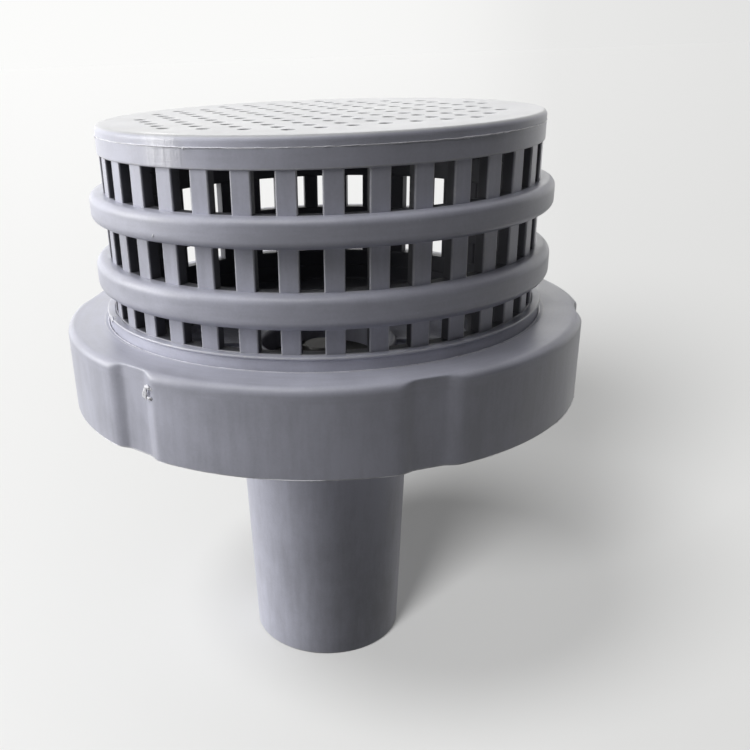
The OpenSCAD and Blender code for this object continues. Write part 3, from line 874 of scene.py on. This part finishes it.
class FOOTVALVE_OT_guide(bpy.types.Operator):
    """Finishes the guide and its bush, and winds the closing spring"""

    bl_idname = "foot_valve.guide"
    bl_label = "Guide and spring"

    def execute(self, context):
        repaint(finish(context, "pvc in painted shade inside"), "guide_spider")
        repaint(finish(context, "bush acetal"), "guide_bush")
        repaint(finish(context, "turned steel"), "lower_spring_washer", "upper_spring_washer")
        wire = context.scene.foot_valve_sizes.wire / MM
        low, high, outer = reach("closing_spring")
        middle = outer - wire / 2
        turns, steps, sides = 6, 40, 12
        drawn = wire / 2 * 0.98  # a little thin, so that the closed turns don't merge
        lift, inset = 11, 0.02
        travel = np.arange(turns * steps + 1) / steps
        start, end = low + wire / 2, high - wire / 2
        rise = (end - start - 2 * wire) / (turns - 2)
        climb = np.where(travel < 1, wire * travel, wire + rise * (travel - 1))
        climb = np.where(travel > turns - 1, end - start - wire * (turns - travel), climb)
        round_wire = np.arange(sides) * 2 * math.pi / sides
        radius = middle + drawn * np.cos(round_wire)[None, :]
        height = start + climb[:, None] + drawn * np.sin(round_wire)[None, :]
        height = np.clip(height, low + inset, high - inset)
        turn = travel[:, None] * 2 * math.pi
        spots = np.stack([radius * np.cos(turn), radius * np.sin(turn), height], axis=-1).reshape(-1, 3)
        faces = []
        for k in range(turns * steps):
            for j in range(sides):
                row, ahead = k * sides, (j + 1) % sides
                faces.append((row + j, row + sides + j, row + sides + ahead, row + ahead))
        last = turns * steps * sides
        faces.append(tuple(range(sides)))
        faces.append(tuple(range(last, last + sides))[::-1])
        shape = (spots * MM, faces, np.zeros(len(spots)))
        spring = piece("spring_coil", shape, finish(context, "spring steel"))
        settle(spring, "valve", "spring_steel", "closing_spring")
        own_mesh(spring)
        return {"FINISHED"}


class FOOTVALVE_OT_poppet(bpy.types.Operator):
    """Finishes the poppet's disc, seal and washers, and turns its threaded stem and nuts"""

    bl_idname = "foot_valve.poppet"
    bl_label = "Poppet"

    def execute(self, context):
        repaint(finish(context, "pvc in painted shade inside"), "poppet_disc")
        repaint(finish(context, "seal rubber"), "poppet_seal")
        repaint(finish(context, "turned steel"), "stem_washer")
        repaint(finish(context, "retainer metal in painted shade"), "seal_retainer")
        steel = finish(context, "bolt metal in painted shade")
        flats, corner = 13.0, 6.5 / math.cos(math.pi / 6)
        chamfer = flats / 2 - 0.25
        low, high, _ = reach("poppet_stem")
        seat = high - 5.0
        size, pitch, depth, thread_end = 4.0, 1.25, 0.62, seat - 8.0
        shank = [
            (0, low, 0),
            (3.0, low, 0),
            *upright(size, low + 0.8, thread_end, 215),
            (size, seat + 0.5, 0),
            (0, seat + 0.5, 0),
        ]

        def cut_thread(turn, radius, height):
            phase = (height / pitch - turn / (2 * math.pi)) % 1.0
            groove = np.clip(1.0 - 2.0 * np.abs(phase - 0.5) * 1.15, 0, 1)
            groove = groove * fade(height, low + 0.3, thread_end, 0.8)
            return np.where(radius > size - 0.01, radius - depth * groove, radius), height

        head = [
            (0, seat, 0),
            (5.9, seat, 0.1),
            (5.9, seat + 0.3, 0.1),
            (corner, seat + 0.45, 0),
            (corner, high - 0.62, 0),
            (chamfer, high, 0.15),
            (0, high, 0),
        ]
        angles = around(5.0)
        shape = joined(lathe(shank, angles, cut_thread), lathe(head, angles, hexagon(flats)))
        stem = piece("stem_bolt", shape, steel, STEEL_SHARP)
        settle(stem, "poppet", "stainless", "poppet_stem")
        for name, node, twist in (("inner_nut", "stem_nut", 0), ("outer_nut", "stem_lock_nut", 20)):
            low, high, _ = reach(node)
            corners = [
                (4.12, low + 0.5, 0),
                (4.6, low, 0),
                (chamfer, low, 0.15),
                (corner, low + 0.6, 0),
                (corner, high - 0.6, 0),
                (chamfer, high, 0.15),
                (4.6, high, 0),
                (4.12, high - 0.5, 0),
            ]
            nut = piece(name, lathe(corners, angles, hexagon(flats)), steel, STEEL_SHARP)
            nut.data.transform(Matrix.Rotation(math.radians(twist), 4, "Z"))
            settle(nut, "poppet", "stainless", node)
        return {"FINISHED"}


class FOOTVALVE_OT_union_collar(bpy.types.Operator):
    """Turns the flanged collar with the bead round its top edge"""

    bl_idname = "foot_valve.union_collar"
    bl_label = "Union collar"

    def execute(self, context):
        edge = context.scene.foot_valve_sizes.edge / MM
        base, top, flange = reach("union_collar")
        wall, shoulder = flange - 6.2, base + 6.2
        bore, cage, chamber = 52.0, 73.0, 68.5
        corners = [
            (bore, base, 0.2),
            (flange, base, edge),
            (flange, shoulder, 0.5),
            (wall, shoulder, 0.3),
            (wall, top - 0.95, 0.15),
            (wall + 0.45, top - 0.55, 0.25),
            (wall + 0.35, top, 0.3),
            (cage, top, 0.3),
            (cage, top - 6.2, 0.2),
            (chamber, top - 6.2, 0.3),
            (chamber, base + 4.0, 0.6),
            (bore, base + 4.0, 0.5),
        ]
        material = finish(context, "collar pvc")
        collar = piece("collar_moulding", lathe(corners, around(1.5)), material)
        settle(collar, "strainer", "pvc_grey", "union_collar")
        return {"FINISHED"}


class FOOTVALVE_OT_strainer_cage(bpy.types.Operator):
    """Turns the cage's rings and stands its bars"""

    bl_idname = "foot_valve.strainer_cage"
    bl_label = "Strainer cage"

    def execute(self, context):
        sizes = context.scene.foot_valve_sizes
        edge = sizes.edge / MM
        base, top, rib = reach("strainer_cage")
        inner, bars = 68.5, 72.8
        collar = base + 6.2
        levels = ((collar + 7.9, 10.1), (collar + 30.5, 8.6))
        foot = bars + 0.1
        rings = [[(inner, base, 0.3), (foot, base, 0.3), (foot, collar, 0.2), (inner, collar, 0.5)]]
        for low, tall in levels:
            soft = 0.27 * tall
            rings.append([
                (inner, low, 0.5),
                (rib, low, soft),
                (rib, low + tall, soft),
                (inner, low + tall, 0.5),
            ])
        rim = top - 5.8
        rings.append([(inner, rim, 0.5), (73.4, rim, 0.5), (73.4, top, 0.15), (inner, top, 0.2)])
        angles = around(1.5)
        material = finish(context, "cage pvc")
        shape = joined(*[lathe(ring, angles) for ring in rings])
        made = piece("cage_rings", shape, material)
        settle(made, "strainer", "pvc_grey", "strainer_cage")
        outside = sizes.bar_width / MM / 2
        inside, back = outside - 0.4, bars - 4
        section = [(back, -inside, edge), (bars, -outside, edge)]
        section += [(bars, outside, edge), (back, inside, edge)]
        bar = prism(section, collar - 0.6, rim + 0.6)
        made = ring_of("cage_bars", bar, material, sizes.bar_count, sizes.bar_turn)
        settle(made, "strainer", "pvc_grey", "strainer_cage")
        return {"FINISHED"}


class FOOTVALVE_OT_end_cap(bpy.types.Operator):
    """Turns the end cap and cuts its grid of holes"""

    bl_idname = "foot_valve.end_cap"
    bl_label = "End cap"

    def execute(self, context):
        sizes = context.scene.foot_valve_sizes
        low, top, rim = reach("strainer_end_cap")
        weld = low + 3.5
        corners = [
            (0, weld, 0),
            (65.8, weld, 0.2),
            (65.8, low, 0.3),
            (68.4, low, 0.3),
            (68.4, weld, 0.1),
            (rim, weld, 0.15),
            (rim, top, 1.8),
            (0, top, 0),
        ]
        material = finish(context, "cap pvc")
        cap = piece("cap_plate", lathe(corners, around(2.0)), material)
        hole = sizes.hole / MM / 2
        spool = [
            (0, weld - 1, 0),
            (hole + 0.9, weld - 1, 0),
            (hole, weld + 0.1, 0),
            (hole, top - 0.2, 0),
            (hole + 1.2, top + 1, 0),
            (0, top + 1, 0),
        ]
        cutter = piece("hole_cutter", lathe(spool, around(15.0)), material)
        values = {
            "Cutter": cutter,
            "Pitch": sizes.hole_pitch,
            "Rows": 15,
            "Shift": (0.0018, -0.0024, 0.0),
            "Turn": sizes.hole_turn,
            "Field radius": 0.0605,
            "Finish": material,
        }
        grown(cap, perforation_tree(), values)
        bpy.data.objects.remove(cutter)
        settle(cap, "strainer", "pvc_grey", "strainer_end_cap")
        return {"FINISHED"}


def flash_ring(radius, height, most, out, lift, thick):
    """Shape of a thin uneven lip round the axis, which stands out where most is positive.

    radius(turn) gives where it starts, out(spot) its share of most, lift(spot) its rise and
    thick its half height, all in mm.
    """
    steps, sunk = 900, -0.25
    side = math.copysign(1.0, most)
    spots = []
    for k in range(steps):
        turn = 2 * math.pi * k / steps
        spot = Vector((math.cos(turn), math.sin(turn), 0))
        far = abs(most) * max(-0.3, min(1.0, out(spot)))
        middle = height + lift(spot)
        half = thick * (0.6 + 0.6 * max(0.0, far / abs(most)))
        outline = [(sunk, -half), (0.3 * far, -half), (far, -0.3 * half), (far, 0.4 * half)]
        outline += [(0.3 * far, half), (sunk, half)]
        for across, up in outline:
            reach_out = radius(turn) + side * across
            spots.append((reach_out * spot.x, reach_out * spot.y, middle + up))
    sides = len(outline)
    faces = []
    for k in range(steps):
        row, ahead = k * sides, (k + 1) % steps * sides
        for j in range(sides):
            after = (j + 1) % sides
            face = (row + j, ahead + j, ahead + after, row + after)
            faces.append(face if side > 0 else face[::-1])
    return np.array(spots) * MM, faces, np.zeros(steps * sides)


def nib(radius, side, height, wide, tall, proud, lean=0.0):
    """Shape of a small torn nib on a turned wall, in mm, with its side and lean in degrees."""
    ball = bmesh.new()
    bmesh.ops.create_icosphere(ball, subdivisions=3, radius=1.0)
    spots = np.array([spot.co for spot in ball.verts])
    faces = [[spot.index for spot in face.verts] for face in ball.faces]
    ball.free()
    shift = Vector((side, height, 0.5))
    lumps = [1 + 0.7 * noise.noise(Vector(spot) * 1.6 + shift) for spot in spots]
    across, up, out = (spots * np.array(lumps)[:, None]).T
    across, up = across * wide / 2, up * tall / 2
    cosine, sine = math.cos(math.radians(lean)), math.sin(math.radians(lean))
    across, up = across * cosine + up * sine, up * cosine - across * sine
    turn = math.radians(side) + across / radius
    out = radius + proud * out
    placed = np.stack([out * np.cos(turn), out * np.sin(turn), height + up], axis=-1)
    return placed * MM, faces, np.ones(len(spots))


class FOOTVALVE_OT_flash(bpy.types.Operator):
    """Runs the uneven flash of the cap's weld, and sets the nibs that the moulds leave"""

    bl_idname = "foot_valve.flash"
    bl_label = "Flash and nibs"

    def execute(self, context):
        most = context.scene.foot_valve_sizes.flash / MM
        low, _, rim = reach("strainer_end_cap")
        weld = low + 3.5
        pale = finish(context, "flash with painted highlight")

        def weld_out(spot):
            coarse = noise.noise(spot * 3.2 + Vector((0, 0, 3.0)))
            lumps = noise.noise(spot * 22.0)
            fine = noise.noise(spot * 90.0)
            return 0.40 + 1.1 * coarse + 0.5 * lumps + 0.35 * fine

        def weld_lift(spot):
            coarse = noise.noise(spot * 9.0 + Vector((7.0, 0, 0)))
            return 0.16 * coarse + 0.1 * noise.noise(spot * 40.0)

        shape = flash_ring(lambda turn: rim, weld, most, weld_out, weld_lift, 0.17)
        made = piece("weld_flash", shape, pale, FLASH_SHARP)
        settle(made, "strainer", "pvc_grey", "strainer_end_cap")
        rib = reach("strainer_cage")[2]
        nibs = [
            nib(rim, -163, low + 3.4, 1.2, 0.8, 0.35, 30),
            nib(rim, -120, low + 3.3, 1.4, 0.7, 0.25),
            nib(rim, -57, low + 3.4, 2.2, 0.5, 0.2),
            nib(rib, -128, 171.0, 0.5, 1.0, 0.2, 20),
        ]
        made = piece("cage_nibs", joined(*nibs), pale, FLASH_SHARP)
        settle(made, "strainer", "pvc_grey", "strainer_cage")
        collar_top = reach("union_collar")[1]
        torn = nib(75.6, -157, collar_top - 0.3, 3.0, 1.6, 0.5, 15)
        made = piece("collar_nib", torn, finish(context, "collar pvc"), FLASH_SHARP)
        settle(made, "strainer", "pvc_grey", "union_collar")
        return {"FINISHED"}


class FOOTVALVE_OT_union_nut(bpy.types.Operator):
    """Turns the union nut with its grip scallops outside and its thread inside"""

    bl_idname = "foot_valve.union_nut"
    bl_label = "Union nut"

    def execute(self, context):
        sizes = context.scene.foot_valve_sizes
        pitch = sizes.thread_pitch / MM
        low, top, outer = reach("union_nut")
        root, lip, bore = outer - 7.0, top - 5.7, outer - 13.75
        depth, half_floor = 2.2, 5.3
        flank = depth / math.tan(math.radians(25))
        thread_depth, blend = 1.05, 1.2
        lip_in, proud = bore - 0.58, outer - 0.1
        corners = [
            (root + 0.5, low, 0.3),
            (outer, low, 0.5),
            *upright(outer, low + 0.9, top - 5.2, 14),
            (outer, top, 5.0),
            (bore + 1.0, top, 0.9),
            (lip_in, top - 0.45, 0.1),
            (lip_in, top - 0.8, 0.1),
            (bore, top - 1.3, 0.1),
            (bore, lip, 0.4),
            (root, lip, 0.5),
            *upright(root, lip - 0.7, low + 1.3, 66),
        ]
        marks = [-70 + 60 * k for k in range(6)]

        def mould(turn, radius, height):
            shape = radius
            for mark in marks:
                away = np.clip(wrapped(turn - math.radians(mark)), -0.5, 0.5)
                across = np.abs(outer * np.sin(away))
                slope = (across - half_floor) / flank
                rise = np.clip((slope + np.sqrt(slope * slope + 0.03)) / 2, 0, 1.6)
                trim = (outer - depth) / np.cos(away) + depth * rise
                shape = np.where(np.abs(away) < 0.3, soft_least(shape, trim, blend), shape)
            ridge = coil(turn + math.pi, height, pitch) * fade(height, low + 0.6, lip - 0.5, 1.4)
            shape = np.where(radius > bore + 5, shape, radius)
            on_root = np.abs(radius - root) < 0.01
            return np.where(on_root, radius - thread_depth * ridge, shape), height

        shape = lathe(corners, around(1.5, marks, 8.0, 0.4), mould)
        nut = piece("nut_moulding", shape, finish(context, "nut pvc"))
        settle(nut, "nut", "pvc_nut", "union_nut")

        def lip_out(spot):
            coarse = noise.noise(spot * 3.0 + Vector((0, 2.0, 5.0)))
            return 0.45 + 1.3 * coarse + 0.5 * noise.noise(spot * 35.0)

        def lip_lift(spot):
            return 0.10 * noise.noise(spot * 12.0 + Vector((0, 0, 9.0)))

        # The pale flash rings and nibs on the nut are partly a painted highlight.
        shape = flash_ring(lambda turn: bore - 0.33, top - 0.28, -0.24, lip_out, lip_lift, 0.15)
        pale = finish(context, "flash with painted highlight")
        made = piece("nut_flash", shape, pale, FLASH_SHARP)
        settle(made, "nut", "pvc_nut", "union_nut")
        nibs = [
            nib(proud, -125.6, 127.9, 1.9, 4.0, 0.30, 8),
            nib(proud, -124.7, 129.7, 2.6, 1.2, 0.35, 20),
            nib(proud, -124.6, 126.4, 2.2, 1.0, 0.30, -15),
            nib(proud, -162.5, 127.5, 0.7, 1.2, 0.3, 0),
        ]
        made = piece("nut_nibs", joined(*nibs), pale, FLASH_SHARP)
        settle(made, "nut", "pvc_nut", "union_nut")

        def foot_out(spot):
            coarse = noise.noise(spot * 5.0 + Vector((4.0, 0, 1.0)))
            return 0.35 + 1.1 * coarse + 0.5 * noise.noise(spot * 40.0)

        def foot(turn):
            return float(mould(turn, outer, low + 2.0)[0]) - 0.12

        # A pale flash ring along the nut's bottom edge, partly a painted highlight line.
        shape = flash_ring(foot, low + 0.25, 0.30, foot_out, lambda spot: 0.0, 0.12)
        made = piece("nut_foot_flash", shape, pale, FLASH_SHARP)
        settle(made, "nut", "pvc_nut", "union_nut")
        return {"FINISHED"}


# ---------------------------------------------------------------- stage


def lamp(name, height, side, power):
    """A soft square lamp that faces the valve from a height and side in degrees."""
    data = bpy.data.lights.new(name, "AREA")
    data.size = 1.0
    data.energy = power
    made = bpy.data.objects.new(name, data)
    bpy.context.scene.collection.objects.link(made)
    made.rotation_euler = (0, math.radians(90 - height), math.radians(side))
    facing = made.rotation_euler.to_matrix() @ Vector((0, 0, 1))
    middle, away = Vector((0, 0, 0.12)), 1.3
    made.location = middle + away * facing
    return made


def sun(name, height, side, strength):
    """A soft sun at a height and side in degrees, for the shadow on the floor."""
    data = bpy.data.lights.new(name, "SUN")
    data.energy = strength
    data.angle = math.radians(22)
    made = bpy.data.objects.new(name, data)
    bpy.context.scene.collection.objects.link(made)
    made.rotation_euler = (0, math.radians(90 - height), math.radians(side))
    return made


def plainly_seen(net):
    """1 for the rays that see the backdrop itself, and 0 for those that only gather its light."""
    rays = net.node("ShaderNodeLightPath").socket.node.outputs
    kinds = [Wire(net, rays[f"Is {kind} Ray"]) for kind in ("Camera", "Glossy", "Transmission")]
    return (kinds[0] + kinds[1] + kinds[2]).clamped()


def paper(net, x, y, distance):
    """Tone of the white paper, with painted light: paler on the window's side and far away."""
    across = (x / y * 1.25 + 0.5).clamped()
    near = [(0.15, 0.83), (0.375, 0.76), (0.55, 0.71), (0.875, 0.69)]
    away = [(0.125, 0.975), (0.5, 0.955), (0.625, 0.93), (0.69, 0.90), (0.79, 0.82), (1.0, 0.775)]
    tones = []
    for stops in (near, away):
        tones.append(net.ramp(across, [(spot, tinted(PAPER_TINT, tone)) for spot, tone in stops]))
    return net.mix(distance / (distance + 0.5), *tones)


class FOOTVALVE_OT_stage(bpy.types.Operator):
    """Sets the camera, the floor, the lamps and the sky"""

    bl_idname = "foot_valve.stage"
    bl_label = "Stage"

    def execute(self, context):
        scene = context.scene
        scene.view_settings.view_transform = "Standard"
        self.add_camera(scene)
        floor = self.add_floor(scene)
        self.add_light(scene, floor)
        self.add_sky(scene)
        return {"FINISHED"}

    def add_camera(self, scene):
        place = (0.0, -0.32087, 0.22063)
        yaw, pitch, roll = -0.0459, -0.428, -0.0382
        forward = Vector((math.sin(yaw) * math.cos(pitch), math.cos(yaw) * math.cos(pitch), math.sin(pitch)))
        level = Vector((math.cos(yaw), -math.sin(yaw), 0))
        upward = level.cross(forward)
        right = level * math.cos(roll) + upward * math.sin(roll)
        above = upward * math.cos(roll) - level * math.sin(roll)
        data = bpy.data.cameras.new("Camera")
        data.sensor_width = 36.0
        data.lens = 43.61
        data.shift_x, data.shift_y = 0.1178, 0.1049
        data.clip_start, data.clip_end = 0.01, 50.0
        camera = bpy.data.objects.new("Camera", data)
        scene.collection.objects.link(camera)
        turned = Matrix((right, above, -forward)).transposed().to_4x4()
        camera.matrix_world = Matrix.Translation(place) @ turned
        scene.camera = camera

    def add_floor(self, scene):
        """Pale paper that is lit by the suns alone, and throws little light back."""
        data = bpy.data.meshes.new("floor")
        side, even_share = 12.0, 0.22
        spots = [(-side, -side, 0), (side, -side, 0), (side, side, 0), (-side, side, 0)]
        data.from_pydata(spots, [], [(0, 1, 2, 3)])
        floor = bpy.data.objects.new("floor", data)
        scene.collection.objects.link(floor)
        material, net = shader("pale floor")
        place = net.place()
        x, y, _ = net.split(place)
        depth = y + 0.5
        tone = paper(net, x, depth.maths("MAXIMUM", depth, 0.05), net.length(place))
        tone = net.mix(net.step(y, -0.55, -0.30), solid(PAPER), tone)
        lit = net.node("ShaderNodeBsdfDiffuse", None, {"Color": tone})
        even = net.node("ShaderNodeEmission", None, {"Color": tone})
        seen = net.node("ShaderNodeMixShader", None, {0: even_share, 1: lit, 2: even})
        thrown_back = solid(tuple(scene.foot_valve_colours.floor))
        bounce = net.node("ShaderNodeBsdfDiffuse", None, {"Color": thrown_back})
        either = net.node("ShaderNodeMixShader", None, {0: plainly_seen(net), 1: bounce, 2: seen})
        net.node("ShaderNodeOutputMaterial", None, {"Surface": either})
        data.materials.append(material)
        return floor

    def add_light(self, scene, floor):
        light = scene.foot_valve_light
        lamps = [
            lamp("window", 5, 180, light.window),
            lamp("sash", 25, 180, light.sash),
            lamp("front", 65, 225, light.front),
            lamp("back left", 5, 135, light.back_left),
            lamp("back", 5, 90, light.back),
            lamp("corner", 5, 45, light.corner),
        ]
        suns = [
            sun("low sun", 28, 240, light.low_sun),
            sun("high sun", 62, 210, light.high_sun),
        ]
        groups = (("Lit by the suns", "INCLUDE", suns), ("Not lit by lamps", "EXCLUDE", lamps))
        for group, state, members in groups:
            lit = bpy.data.collections.new(group)
            lit.objects.link(floor)
            lit.collection_objects[0].light_linking.link_state = state
            for member in members:
                member.light_linking.receiver_collection = lit

    def add_sky(self, scene):
        """White paper to the camera all round, and to reflections in the half ahead of it."""
        world = bpy.data.worlds.new("White room")
        scene.world = world
        world.use_nodes = True
        world.node_tree.nodes.clear()
        net = Net(world.node_tree)
        x, y, _ = net.split(net.node("ShaderNodeTexCoord", output=0))
        depth = y.maths("MAXIMUM", y, 0.05)
        facing = net.step(y, -0.3, 0.6)
        far_away = y * 0.0 + 20.0
        ahead = paper(net, x, depth, far_away)
        tone = net.mix(net.step(y, -0.1, 0.5), solid(PAPER), ahead)
        looked = Wire(net, net.node("ShaderNodeLightPath").socket.node.outputs["Is Camera Ray"])
        strength = facing.maths("MAXIMUM", facing, looked)
        seen = net.node("ShaderNodeBackground", None, {"Color": tone, "Strength": strength})
        values = {"Color": solid((1.0, 1.0, 1.0)), "Strength": 0.03}
        dim = net.node("ShaderNodeBackground", None, values)
        sky = net.node("ShaderNodeMixShader", None, {0: plainly_seen(net), 1: dim, 2: seen})
        net.node("ShaderNodeOutputWorld", None, {"Surface": sky})


# ---------------------------------------------------------------- panel and run

OPERATORS = (
    FOOTVALVE_OT_stage,
    FOOTVALVE_OT_valve_body,
    FOOTVALVE_OT_seat,
    FOOTVALVE_OT_guide,
    FOOTVALVE_OT_poppet,
    FOOTVALVE_OT_union_collar,
    FOOTVALVE_OT_strainer_cage,
    FOOTVALVE_OT_end_cap,
    FOOTVALVE_OT_flash,
    FOOTVALVE_OT_union_nut,
)


class FOOTVALVE_PT_sidebar(bpy.types.Panel):
    """Lists the foot valve's pieces, sizes, colours and light"""

    bl_label = "Foot valve"
    bl_idname = "FOOTVALVE_PT_sidebar"
    bl_space_type = "VIEW_3D"
    bl_region_type = "UI"
    bl_category = "Foot valve"

    def draw(self, context):
        scene = context.scene
        for operator in OPERATORS:
            self.layout.operator(operator.bl_idname)
        groups = (scene.foot_valve_sizes, scene.foot_valve_colours, scene.foot_valve_light)
        for group in groups:
            box = self.layout.box()
            for name in group.__annotations__:
                box.prop(group, name)


CLASSES = (FootValveSizes, FootValveColours, FootValveLight, *OPERATORS, FOOTVALVE_PT_sidebar)


def register():
    for cls in CLASSES:
        bpy.utils.register_class(cls)
    bpy.types.Scene.foot_valve_sizes = PointerProperty(type=FootValveSizes)
    bpy.types.Scene.foot_valve_colours = PointerProperty(type=FootValveColours)
    bpy.types.Scene.foot_valve_light = PointerProperty(type=FootValveLight)


def unregister():
    del bpy.types.Scene.foot_valve_light
    del bpy.types.Scene.foot_valve_colours
    del bpy.types.Scene.foot_valve_sizes
    for cls in reversed(CLASSES):
        bpy.utils.unregister_class(cls)


def main():
    register()
    for operator in OPERATORS:
        module, name = operator.bl_idname.split(".")
        getattr(getattr(bpy.ops, module), name)()


if __name__ == "__main__":
    main()
